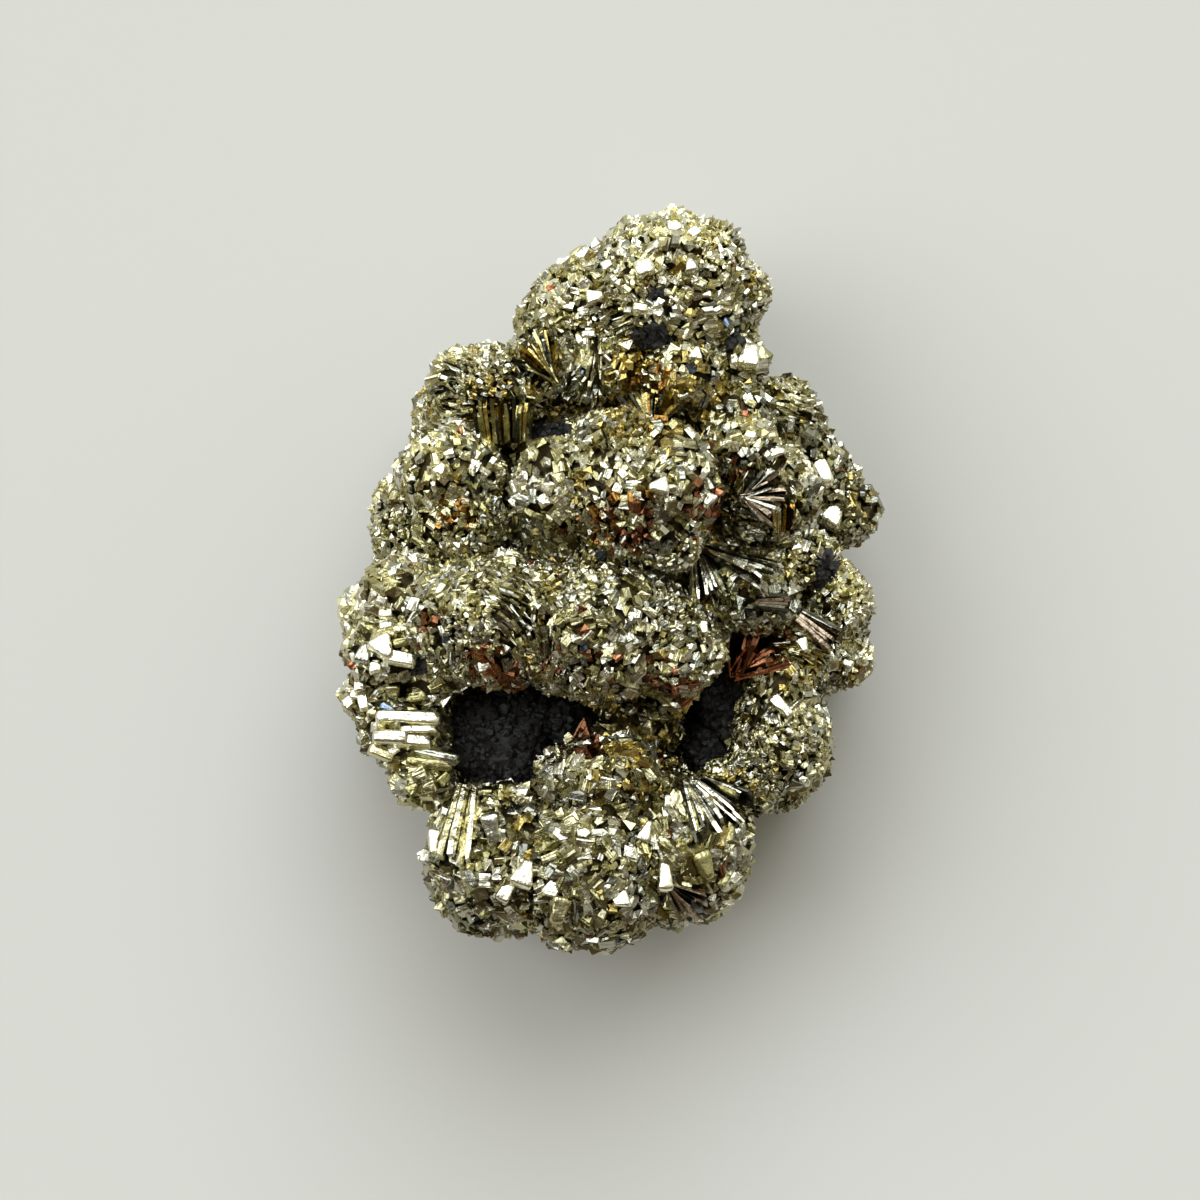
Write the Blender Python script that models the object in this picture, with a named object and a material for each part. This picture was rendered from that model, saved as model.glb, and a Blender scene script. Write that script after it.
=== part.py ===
"""A marcasite specimen: a hand-sized cluster of knobs, covered all over with flat-faced crystals.

The specimen lies on the flat cut where it was broken from its rock. +Z points out of its best face, +Y to
its crown and +X to its right. The origin is on the cut, under the middle of the outline. Black rock, the
matrix that the crystals grew on, runs through it from the cut and shows in the pits between the knobs.
"""

import math
import random

import bmesh
import bpy
from mathutils import Matrix, Vector

MM = 0.001

# Driving dimensions, in millimetres
GRAIN = 0.8  # the finest form of the mass that the crystals stand on
CRYSTAL_TIPS = 1180  # crystals over the whole mass, about 2.4 apart
TIP_RISE = (0.06, 0.38)  # how far the tips stand out of the mass, for a crystal 1 wide
HOLLOW_RISE = 0.2  # how much of that is left in a hollow between knobs
HOLLOW = 0.1  # a point is in a hollow when it lies this far under the middle of its neighbours
TIP_LEAN = 0.11  # how far they lean sideways
CREASE_DEPTH = 0.22  # how far the creases between crystals lie inside the mass
EVENNESS = 0.3  # how far each point of the mass is moved towards the middle of its neighbours
ROCK_CORNER_PITCH = 3.1  # from one corner of the broken rock to the next
ROCK_CORNER_SHIFT = 0.3  # how far a corner may leave its even place, in pitches
ROCK_ROUGHNESS = 0.7  # how far a corner may stand out or lie back
ROCK_SQUARENESS = 4  # 2 is an ellipsoid, and more is closer to a block
ROCK_GAP = 0.45  # between the rock and the crystals around it
CUT_DEPTH = 20.0  # more than anything reaches below the cut
CUT_WIDTH = 120.0
MIDDLE = Vector((0.06, 0.04, 0.0))  # the middle of the outline, moved to the origin

# Each knob is (x, y, z of its middle), (half its width, length and height), in millimetres
FACE_KNOBS = {
    "crown": ((5.2, 24.2, 17.5), (7.6, 6.8, 7.8)),
    "crown_left": ((-1.6, 23.2, 18.0), (4.9, 4.5, 4.8)),
    "crown_right": ((11.0, 23.8, 18.3), (2.6, 3.0, 3.6)),
    "crown_shoulder": ((-4.8, 21.8, 17.0), (3.0, 3.0, 3.6)),
    "neck_left": ((-0.4, 17.6, 20.4), (3.8, 3.2, 4.0)),
    "neck_middle": ((6.1, 17.0, 21.0), (4.0, 3.1, 4.0)),
    "neck_right": ((11.0, 18.4, 19.0), (2.5, 2.9, 3.4)),
    "neck_low": ((10.6, 14.0, 20.2), (3.4, 2.9, 3.6)),
    "shoulder": ((-10.0, 15.8, 19.2), (5.3, 4.0, 5.2)),
    "shoulder_edge": ((-13.6, 14.4, 16.6), (2.7, 2.8, 3.8)),
    "shoulder_top": ((-5.9, 17.6, 19.6), (3.2, 2.8, 3.4)),
    "left": ((-12.7, 9.0, 20.6), (5.0, 4.0, 5.0)),
    "left_edge": ((-16.8, 5.1, 15.0), (2.9, 4.6, 5.0)),
    "left_low": ((-11.8, 4.6, 21.2), (4.4, 2.8, 4.4)),
    "centre": ((3.0, 7.6, 24.6), (6.5, 6.1, 7.0)),
    "centre_left": ((-3.6, 8.0, 24.4), (4.4, 4.1, 5.2)),
    "centre_top": ((1.0, 11.2, 24.8), (4.0, 2.9, 4.6)),
    "centre_low": ((4.9, 3.3, 25.2), (3.4, 2.7, 3.8)),
    "back_top": ((15.0, 14.2, 13.5), (2.8, 2.8, 3.9)),
    "back_middle": ((17.1, 11.2, 12.6), (2.8, 2.9, 3.9)),
    "back_low": ((18.6, 8.1, 12.0), (2.2, 2.7, 3.4)),
    "back_ball": ((20.0, 5.3, 11.4), (1.9, 2.1, 2.6)),
    "right": ((13.2, 7.3, 19.2), (4.8, 4.8, 6.0)),
    "right_top": ((10.9, 11.0, 22.0), (3.4, 2.9, 4.2)),
    "right_low": ((16.0, 2.1, 18.2), (3.6, 2.8, 4.4)),
    "ear": ((19.3, -1.7, 15.4), (3.3, 3.7, 5.0)),
    "ear_low": ((19.5, -6.2, 14.6), (2.5, 2.8, 3.6)),
    "ear_inner": ((16.2, -5.4, 17.0), (3.3, 3.5, 4.6)),
    "band_left": ((-8.7, -3.0, 22.9), (7.7, 5.7, 7.2)),
    "band_middle": ((-0.6, -4.0, 24.0), (7.4, 5.9, 7.3)),
    "band_right": ((5.5, -5.2, 23.9), (3.9, 4.9, 5.8)),
    "band_end": ((-15.8, -0.8, 20.0), (4.4, 3.8, 5.4)),
    "band_fan": ((11.0, -0.9, 21.2), (4.9, 3.8, 5.4)),
    "hip": ((-17.8, -5.4, 18.0), (4.4, 4.0, 5.0)),
    "hip_inner": ((-14.0, -7.4, 19.2), (3.0, 2.8, 4.0)),
    "hip_edge": ((-20.0, -2.4, 16.4), (2.5, 2.8, 3.6)),
    "hip_low": ((-19.1, -9.0, 16.8), (3.4, 2.8, 4.2)),
    "prisms": ((-16.6, -12.6, 18.4), (4.0, 2.9, 3.6)),
    "prisms_low": ((-14.7, -16.2, 17.9), (3.5, 2.9, 4.2)),
    "corner": ((14.5, -12.8, 18.6), (4.5, 5.2, 6.4)),
    "corner_top": ((14.2, -8.6, 20.0), (2.5, 2.8, 4.0)),
    "corner_low": ((11.3, -16.6, 19.0), (4.0, 3.1, 4.6)),
    "foot_left": ((-8.9, -22.6, 20.4), (6.5, 6.6, 7.3)),
    "foot_middle": ((-1.4, -23.0, 21.4), (6.9, 7.4, 8.4)),
    "foot_right": ((6.1, -21.9, 20.2), (6.2, 6.5, 7.4)),
    "foot_top": ((-0.4, -15.8, 22.6), (5.8, 4.0, 5.0)),
    "crease": ((2.6, -11.6, 17.5), (4.2, 3.4, 5.0)),
}

BODY_KNOBS = {
    "crown_body": ((4.9, 22.4, 9.0), (7.6, 7.2, 10.4)),
    "neck_body": ((-1.5, 16.6, 9.0), (8.0, 7.0, 10.0)),
    "shoulder_body": ((-10.0, 12.4, 8.2), (6.6, 6.8, 10.2)),
    "left_body": ((-13.0, 2.4, 8.0), (6.6, 8.8, 10.4)),
    "hip_body": ((-14.8, -7.0, 8.0), (7.3, 7.8, 10.4)),
    "right_body": ((13.2, 9.2, 7.4), (6.2, 7.6, 9.6)),
    "ear_body": ((15.8, -3.4, 7.6), (6.4, 7.2, 9.8)),
    "corner_body": ((12.8, -13.4, 8.0), (6.2, 6.4, 10.2)),
    "foot_left_body": ((-7.2, -21.4, 8.8), (8.0, 7.8, 11.0)),
    "foot_right_body": ((4.2, -21.2, 8.8), (8.0, 7.8, 11.0)),
    "middle_body": ((0.6, 4.0, 10.0), (13.0, 14.5, 13.6)),
}

# The rock's own lumps, in the same form: a slab on the cut, and a hump under each pit
ROCK_LUMPS = {
    "rock_slab": ((-0.6, -12.0, 1.0), (13.0, 5.0, 7.0)),
    "rock_left": ((-8.9, -12.9, 8.0), (4.7, 4.3, 10.2)),
    "rock_crack": ((-4.2, -11.2, 8.0), (3.0, 1.8, 9.6)),
    "rock_right": ((10.4, -9.4, 8.0), (2.6, 3.4, 10.4)),
    "rock_right_low": ((8.8, -13.8, 7.0), (2.4, 2.8, 10.4)),
}

# Each fan of blades is (x, y, z of its root), (direction it opens towards), reach, opening in degrees and
# blades: flat crystals that stand on edge side by side, as they grew from one point
BLADE_FANS = {
    "fan_of_the_band": ((8.4, 1.4, 22.2), (0.85, -0.35, 0.55), 6.6, 70, 5),
    "copper_fan": ((11.0, -6.2, 18.8), (0.50, 0.60, 0.80), 6.6, 80, 5),
    "fan_of_the_foot": ((5.6, -18.4, 21.6), (0.75, 0.10, 0.60), 7.0, 75, 5),
    "fan_of_the_corner": ((-10.0, -21.8, 19.8), (-0.75, 0.05, 0.65), 7.0, 70, 4),
}
BLADE_THICKNESS = 0.9
BLADE_WIDTH = 2.6
BLADE_LENGTHS = (0.84, 1.0)  # of the fan's reach
BLADE_WIDTHS = (0.85, 1.2)  # of the blade width
BLADE_TURN = math.radians(2.5)  # how far a blade may leave its place in the fan
BLADE_SECTIONS = (  # each (how far along), (share of the width), (share of the thickness)
    (0.0, 0.35, 0.7),
    (0.78, 1.0, 1.0),
    (1.0, 0.45, 0.1),
)

# The striped prisms at the left edge lie side by side and point outwards
PRISM_ROOT = Vector((-12.0, -11.0, 21.2))
PRISM_DIRECTION = Vector((-1.0, 0.02, 0.10))
PRISM_LENGTH = 6.6
PRISM_THICKNESS = 1.2
PRISM_STEP = Vector((-0.25, -1.35, -0.35))
PRISMS = 4


def clear_scene():
    for thing in list(bpy.data.objects):
        bpy.data.objects.remove(thing, do_unlink=True)


def make_material(name, colour, roughness, metallic):
    material = bpy.data.materials.new(name)
    material.use_nodes = True
    shader = material.node_tree.nodes["Principled BSDF"]
    shader.inputs["Base Color"].default_value = (*colour, 1.0)
    shader.inputs["Roughness"].default_value = roughness
    shader.inputs["Metallic"].default_value = metallic
    return material


def add_object(name, bm):
    mesh = bpy.data.meshes.new(name)
    bm.to_mesh(mesh)
    bm.free()
    thing = bpy.data.objects.new(name, mesh)
    bpy.context.collection.objects.link(thing)
    return thing


def make_object(name, bm, material):
    """An object in metres about MIDDLE, from a bmesh in millimetres."""
    bmesh.ops.translate(bm, vec=-MIDDLE, verts=bm.verts)
    bmesh.ops.scale(bm, vec=(MM, MM, MM), verts=bm.verts)
    bmesh.ops.recalc_face_normals(bm, faces=bm.faces)
    thing = add_object(name, bm)
    thing.data.materials.append(material)
    return thing


def mass_of_knobs():
    """A triangle mesh over all the knobs run together, with about one point for each crystal."""
    bm = bmesh.new()
    for middle, radii in [*FACE_KNOBS.values(), *BODY_KNOBS.values()]:
        place = Matrix.Translation(middle) @ Matrix.Diagonal((*radii, 1.0))
        bmesh.ops.create_icosphere(bm, subdivisions=3, radius=1.0, matrix=place)
    lumps = add_object("lumps", bm)
    remesh = lumps.modifiers.new("Run together", "REMESH")
    remesh.mode = "VOXEL"
    remesh.voxel_size = GRAIN
    fine = evaluated_bmesh(lumps)
    points = len(fine.verts)
    fine.free()
    decimate = lumps.modifiers.new("One point a crystal", "DECIMATE")
    decimate.ratio = CRYSTAL_TIPS / points
    mass = evaluated_bmesh(lumps)
    bpy.data.objects.remove(lumps, do_unlink=True)
    bmesh.ops.triangulate(mass, faces=mass.faces)
    bmesh.ops.smooth_vert(
        mass, verts=mass.verts, factor=EVENNESS, use_axis_x=True, use_axis_y=True, use_axis_z=True
    )
    return mass


def evaluated_bmesh(thing):
    bpy.context.view_layer.update()
    bm = bmesh.new()
    bm.from_object(thing, bpy.context.evaluated_depsgraph_get())
    return bm


def grow_crystals(bm):
    """Turns each point of a closed triangle mesh into the tip of a flat-faced pyramid.

    The middle of each triangle becomes a crease, and its sides are turned to join crease to crease, so
    each tip is left with the flat faces around it. Tips in a hollow between knobs rise less.
    """
    rng = random.Random("crystals")
    bm.normal_update()
    tips = list(bm.verts)
    moves = []
    for tip in tips:
        ring = [edge.other_vert(tip).co for edge in tip.link_edges]
        hollow = (sum(ring, Vector()) / len(ring) - tip.co).dot(tip.normal)
        width = min((point - tip.co).length for point in ring)
        rise = rng.uniform(*TIP_RISE) * (HOLLOW_RISE if hollow > HOLLOW else 1.0)
        lean = Vector([rng.uniform(-TIP_LEAN, TIP_LEAN) for _ in range(3)])
        moves.append((tip.normal * rise + lean) * width)
    sides = list(bm.edges)
    for face in list(bm.faces):
        inward = -face.normal * math.sqrt(face.calc_area()) * CREASE_DEPTH
        crease = bmesh.ops.poke(bm, faces=[face])["verts"][0]
        crease.co += inward
    for tip, move in zip(tips, moves):
        tip.co += move
    bmesh.ops.rotate_edges(bm, edges=sides)
    return bm


def spread_directions(count, rng):
    """Unit vectors spread evenly over a sphere on a golden-angle spiral, each moved a little off its place."""
    golden_angle = math.pi * (3 - math.sqrt(5))
    directions = []
    for i in range(count):
        height = 1 - (2 * i + 1) / count
        radius = math.sqrt(1 - height * height)
        direction = Vector((radius * math.cos(golden_angle * i), radius * math.sin(golden_angle * i), height))
        pitch = math.sqrt(4 * math.pi / count)
        shift = Vector([rng.uniform(-1, 1) for _ in range(3)]) * ROCK_CORNER_SHIFT * pitch
        directions.append((direction + shift).normalized())
    return directions


def rock_lump(name, middle, radii, growth):
    """A broken lump with flat facets, squarer than an ellipsoid. Growth moves its surface out."""
    rng = random.Random(name)
    bm = bmesh.new()
    width, length, height = radii
    area = 8 * (width * length + length * height + width * height)
    for direction in spread_directions(round(area / ROCK_CORNER_PITCH**2), rng):
        stretch = sum(abs(c) ** ROCK_SQUARENESS for c in direction) ** (-1 / ROCK_SQUARENESS)
        place = Vector([c * stretch * r for c, r in zip(direction, radii)])
        outward = Vector([c / r for c, r in zip(direction, radii)]).normalized()
        bm.verts.new(place + outward * (rng.uniform(-ROCK_ROUGHNESS, ROCK_ROUGHNESS) + growth))
    bmesh.ops.convex_hull(bm, input=bm.verts)
    for vert in [v for v in bm.verts if not v.link_faces]:
        bm.verts.remove(vert)
    bmesh.ops.translate(bm, vec=Vector(middle), verts=bm.verts)
    return bm


def blade(root, along, across, length, width, thickness):
    """One flat crystal with a chisel tip: along is its length, across its width."""
    bm = bmesh.new()
    thin = along.cross(across).normalized()
    for at, wide, thick in BLADE_SECTIONS:
        for side in (-0.5, 0.5):
            for face in (-0.5, 0.5):
                offset = across * width * wide * side + thin * thickness * thick * face
                bm.verts.new(root + along * length * at + offset)
    bmesh.ops.convex_hull(bm, input=bm.verts)
    return bm


def blade_fan(name, root, direction, reach, opening, blades):
    """Blades that open like a fan, each standing on edge in its own radial plane."""
    rng = random.Random(name)
    direction = Vector(direction).normalized()
    level = Vector((-direction.y, direction.x, 0)).normalized()
    hinge = direction.cross(level).normalized()
    for i in range(blades):
        angle = math.radians(opening) * ((i + 0.5) / blades - 0.5) + rng.uniform(-BLADE_TURN, BLADE_TURN)
        along = Matrix.Rotation(angle, 3, hinge) @ direction
        length = reach * rng.uniform(*BLADE_LENGTHS)
        width = BLADE_WIDTH * rng.uniform(*BLADE_WIDTHS)
        yield f"{name}_{i}", blade(Vector(root), along, hinge, length, width, BLADE_THICKNESS)


def prism_row():
    along = PRISM_DIRECTION.normalized()
    across = Vector((0, 1, 0)).cross(along).normalized()
    for i in range(PRISMS):
        root = PRISM_ROOT + PRISM_STEP * i
        yield f"prism_{i}", blade(root, along, across, PRISM_LENGTH, BLADE_WIDTH, PRISM_THICKNESS)


def as_helper(thing, collection):
    """Moves an object to a collection of helpers, which only the Booleans use."""
    bpy.context.collection.objects.unlink(thing)
    collection.objects.link(thing)
    thing.hide_render = True
    thing.display_type = "WIRE"


def new_collection(name):
    collection = bpy.data.collections.new(name)
    bpy.context.scene.collection.children.link(collection)
    return collection


def add_boolean(thing, operation, collection, solver="EXACT", crossing_itself=False):
    """The exact solver mends crystals that cross, and the manifold one keeps the many-faced mass closed."""
    boolean = thing.modifiers.new(f"{operation.title()} {collection.name}", "BOOLEAN")
    boolean.operation = operation
    boolean.solver = solver
    boolean.use_self = crossing_itself
    boolean.operand_type = "COLLECTION"
    boolean.collection = collection


def rock_below_the_cut(material):
    """A collection with one box, as deep as anything that reaches below the cut."""
    bm = bmesh.new()
    bmesh.ops.create_cube(bm, size=1.0)
    bmesh.ops.scale(bm, vec=(CUT_WIDTH, CUT_WIDTH, CUT_DEPTH), verts=bm.verts)
    bmesh.ops.translate(bm, vec=MIDDLE - Vector((0, 0, CUT_DEPTH / 2)), verts=bm.verts)
    below = new_collection("below_the_cut")
    as_helper(make_object("box_below_the_cut", bm, material), below)
    return below


def make_marcasite(material, below):
    """The crystals of every knob, fan and prism, cleared around the rock and cut flat underneath."""
    marcasite = make_object("marcasite", grow_crystals(mass_of_knobs()), material)

    blades = new_collection("blades")
    for fan, shape in BLADE_FANS.items():
        for name, bm in blade_fan(fan, *shape):
            as_helper(make_object(name, bm, material), blades)
    for name, bm in prism_row():
        as_helper(make_object(name, bm, material), blades)

    cleared = new_collection("cleared_around_the_rock")
    for name, (middle, radii) in ROCK_LUMPS.items():
        as_helper(make_object(f"clear_{name}", rock_lump(name, middle, radii, ROCK_GAP), material), cleared)

    add_boolean(marcasite, "UNION", blades, crossing_itself=True)
    add_boolean(marcasite, "DIFFERENCE", cleared, solver="MANIFOLD")
    add_boolean(marcasite, "DIFFERENCE", below, solver="MANIFOLD")


def make_matrix(material, below):
    """The rock between the crystals, one broken lump."""
    humps = new_collection("rock_humps")
    lumps = dict(ROCK_LUMPS)
    matrix = make_object("matrix", rock_lump("rock_slab", *lumps.pop("rock_slab"), 0.0), material)
    for name, (middle, radii) in lumps.items():
        as_helper(make_object(name, rock_lump(name, middle, radii, 0.0), material), humps)
    add_boolean(matrix, "UNION", humps)
    add_boolean(matrix, "DIFFERENCE", below)


def main():
    clear_scene()
    marcasite_material = make_material("metallic_marcasite", (0.58, 0.52, 0.34), 0.3, 1.0)
    rock_material = make_material("black_shale", (0.012, 0.012, 0.013), 0.85, 0.0)
    below = rock_below_the_cut(rock_material)
    make_marcasite(marcasite_material, below)
    make_matrix(rock_material, below)


main()
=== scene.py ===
"""The looks of a marcasite specimen that lies on its flat cut, seen from straight above.

The solids of the frame are the crystal cluster and the black rock in it. This script gives them their
finish and plants the fine crystals, blades and rock grains on them. All lengths are in metres.
"""

import bpy
import numpy as np
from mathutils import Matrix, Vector
from mathutils.bvhtree import BVHTree


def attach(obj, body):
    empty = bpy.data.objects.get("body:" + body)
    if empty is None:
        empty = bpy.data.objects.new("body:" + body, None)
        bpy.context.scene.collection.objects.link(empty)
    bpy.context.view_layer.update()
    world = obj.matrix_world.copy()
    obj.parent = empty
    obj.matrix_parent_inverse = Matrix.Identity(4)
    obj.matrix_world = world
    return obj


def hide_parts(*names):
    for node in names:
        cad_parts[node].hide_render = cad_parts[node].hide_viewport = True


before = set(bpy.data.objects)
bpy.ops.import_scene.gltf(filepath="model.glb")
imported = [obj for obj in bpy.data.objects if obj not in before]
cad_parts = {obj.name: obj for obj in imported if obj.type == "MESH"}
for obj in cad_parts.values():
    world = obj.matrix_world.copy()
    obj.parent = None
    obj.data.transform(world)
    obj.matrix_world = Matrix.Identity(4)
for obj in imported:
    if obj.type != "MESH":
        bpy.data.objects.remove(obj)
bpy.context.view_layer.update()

MM = 0.001

# The view: a camera straight above the specimen, as the photograph looks at its best face. It stands
# 260 mm above the level at which the picture is 100 mm wide.
VIEW_CENTRE = (-0.66 * MM, -1.44 * MM)
VIEW_PLANE = 16 * MM  # the height of that level
VIEW_DISTANCE = 260 * MM
VIEW_WIDTH = 100 * MM


def new_object(name, data):
    """An object of this mesh or camera, in the scene."""
    thing = bpy.data.objects.new(name, data)
    bpy.context.scene.collection.objects.link(thing)
    return thing


camera = new_object("camera", bpy.data.cameras.new("camera"))
camera.location = (*VIEW_CENTRE, VIEW_PLANE + VIEW_DISTANCE)
camera.data.lens = camera.data.sensor_width * VIEW_DISTANCE / VIEW_WIDTH
camera.data.clip_start = 10 * MM
camera.data.clip_end = 10
bpy.context.scene.camera = camera
bpy.context.scene.view_settings.view_transform = "Standard"


# The floor: a pale matt board, larger than any view of the specimen.
FLOOR_COLOUR = "#c3c2b6"
FLOOR_HALF = 3.0  # half its side


def linear(colour):
    """The linear RGB values of an sRGB hex colour."""
    srgb = np.array([int(colour[i : i + 2], 16) for i in (1, 3, 5)]) / 255
    return np.where(srgb <= 0.04045, srgb / 12.92, ((srgb + 0.055) / 1.055) ** 2.4)


def add_node(tree, kind, values=(), links=(), **settings):
    """Adds one node: values go to its input sockets, links come from other nodes' sockets."""
    node = tree.nodes.new(kind)
    for key, value in settings.items():
        setattr(node, key, value)
    for socket, value in dict(values).items():
        node.inputs[socket].default_value = value
    for socket, source in dict(links).items():
        tree.links.new(source, node.inputs[socket])
    return node


def new_material(name):
    """An empty node material and its output node."""
    material = bpy.data.materials.new(name)
    material.use_nodes = True
    material.node_tree.nodes.clear()
    output = add_node(material.node_tree, "ShaderNodeOutputMaterial")
    return material, material.node_tree, output


painted_board, tree, output = new_material("painted_board")
values = {"Base Color": (*linear(FLOOR_COLOUR), 1), "Roughness": 0.8, "Specular IOR Level": 0.2}
shader = add_node(tree, "ShaderNodeBsdfPrincipled", values)
tree.links.new(shader.outputs[0], output.inputs["Surface"])

floor_corners = np.array([(-1, -1, 0), (1, -1, 0), (1, 1, 0), (-1, 1, 0)]) * FLOOR_HALF
floor_mesh = bpy.data.meshes.new("floor")
floor_mesh.from_pydata(floor_corners, [], [(0, 1, 2, 3)])
floor_mesh.materials.append(painted_board)
new_object("floor", floor_mesh)


# The light: a bright window beyond the crown, a dimmer room all round, and a dark patch overhead where the
# viewer stands. Bare metal faces show nothing but this, so its contrast makes the glitter.
LIGHTS = {  # direction, the cosines of the angles at which it starts to fade and has gone, and radiance
    "far_wall": ((0.0, 0.90, 0.43), 0.9, -0.3, 0.75),
    "overhead": ((0.0, 0.0, 1.0), 0.98, 0.85, -0.22),
    "window": ((0.10, 0.70, 0.71), 0.97, 0.86, 4.8),
    "lamp": ((-0.66, 0.20, 0.72), 0.97, 0.89, 3.6),
}
ROOM_RADIANCE = 0.24
WINDOW_COLOUR = "#eaf0ff"
FAR_COLOUR = "#fdfdf8"
NEAR_COLOUR = "#d2b592"  # the warm near side of the room
TINT_FADE = (0.5, -0.5)  # the cosines from the far wall between which one colour fades into the other

world = bpy.data.worlds.new("room")
bpy.context.scene.world = world
world.use_nodes = True
tree = world.node_tree
tree.nodes.clear()
direction = add_node(tree, "ShaderNodeTexCoord").outputs["Generated"]


def patch(towards, inner, outer):
    """1 within the inner angle of a direction, fading to 0 at the outer one. The angles are cosines."""
    towards = {1: Vector(towards).normalized()}
    cosine = add_node(tree, "ShaderNodeVectorMath", towards, {0: direction}, operation="DOT_PRODUCT")
    return add_node(
        tree,
        "ShaderNodeMapRange",
        {"From Min": outer, "From Max": inner},
        {"Value": cosine.outputs["Value"]},
        interpolation_type="SMOOTHSTEP",
    ).outputs["Result"]


def times_plus(value, factor, base):
    """value * factor + base, where base may be a socket."""
    node = add_node(tree, "ShaderNodeMath", {1: factor}, {0: value}, operation="MULTIPLY_ADD")
    if isinstance(base, float):
        node.inputs[2].default_value = base
    else:
        tree.links.new(base, node.inputs[2])
    return node.outputs[0]


radiance = ROOM_RADIANCE
lit = {}
for name, (towards, inner, outer, strength) in LIGHTS.items():
    lit[name] = patch(towards, inner, outer)
    radiance = times_plus(lit[name], strength, radiance)
values = {"A": (*linear(NEAR_COLOUR), 1), "B": (*linear(FAR_COLOUR), 1)}
links = {"Factor": patch(LIGHTS["far_wall"][0], *TINT_FADE)}
tint = add_node(tree, "ShaderNodeMix", values, links, data_type="RGBA")
glare = add_node(tree, "ShaderNodeMath", {}, {0: lit["window"], 1: lit["lamp"]}, operation="MAXIMUM")
links = {"A": tint.outputs["Result"], "Factor": glare.outputs[0]}
tint = add_node(tree, "ShaderNodeMix", {"B": (*linear(WINDOW_COLOUR), 1)}, links, data_type="RGBA")
links = {"Strength": radiance, "Color": tint.outputs["Result"]}
background = add_node(tree, "ShaderNodeBackground", {}, links)
add_node(tree, "ShaderNodeOutputWorld", {}, {"Surface": background.outputs[0]})


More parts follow.
